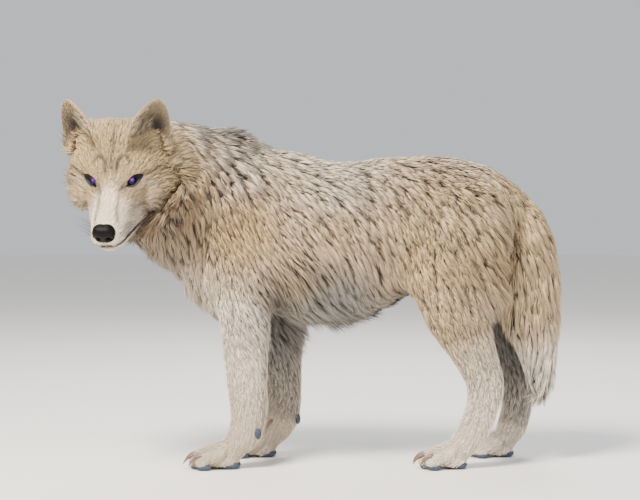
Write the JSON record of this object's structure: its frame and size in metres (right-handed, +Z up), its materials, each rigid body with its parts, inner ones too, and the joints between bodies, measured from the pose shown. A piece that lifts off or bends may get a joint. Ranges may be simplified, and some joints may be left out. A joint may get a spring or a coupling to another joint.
{
  "type": "arctic wolf",
  "caption": "Standing arctic wolf in a thick pale coat, head turned to its left, with upright ears and a hanging bushy tail.",
  "frame": {"origin": "middle of the footprint of the whole body, at the level of the soles", "axes": "-X the way the body faces, -Y the wolf's left side, +Z up"},
  "size_m": [1.228, 0.4562, 0.8968],
  "materials": {
    "cream_coat": "thick soft coat of cream guard hair over pale underwool",
    "tan_coat": "long coarse mane, tan with pale tips and darker roots",
    "pale_coat": "short smooth near-white fur",
    "nose_leather": "moist black pebbled leather",
    "claw_horn": "brown horn, worn smooth",
    "eye_wet": "wet clear cornea over a violet iris"
  },
  "bodies": {
    "root": {"claw_fore_left_1": "claw_horn", "claw_fore_left_2": "claw_horn", "claw_fore_left_3": "claw_horn", "claw_fore_left_4": "claw_horn", "claw_fore_right_1": "claw_horn", "claw_fore_right_2": "claw_horn", "claw_fore_right_3": "claw_horn", "claw_fore_right_4": "claw_horn", "claw_hind_left_1": "claw_horn", "claw_hind_left_2": "claw_horn", "claw_hind_left_3": "claw_horn", "claw_hind_left_4": "claw_horn", "claw_hind_right_1": "claw_horn", "claw_hind_right_2": "claw_horn", "claw_hind_right_3": "claw_horn", "claw_hind_right_4": "claw_horn", "dewclaw_left": "claw_horn", "dewclaw_right": "claw_horn", "ear_left": "cream_coat", "ear_right": "cream_coat", "eye_left": "eye_wet", "eye_right": "eye_wet", "fore_paw_left": "pale_coat", "fore_paw_right": "pale_coat", "head": "cream_coat", "hind_paw_left": "pale_coat", "hind_paw_right": "pale_coat", "lower_foreleg_left": "pale_coat", "lower_foreleg_right": "pale_coat", "lower_jaw": "pale_coat", "neck": "tan_coat", "nose": "nose_leather", "shank_left": "cream_coat", "shank_right": "cream_coat", "tail": "cream_coat", "thigh_left": "cream_coat", "thigh_right": "cream_coat", "trunk": "cream_coat", "upper_foreleg_left": "cream_coat", "upper_foreleg_right": "cream_coat"}
  },
  "joints": []
}
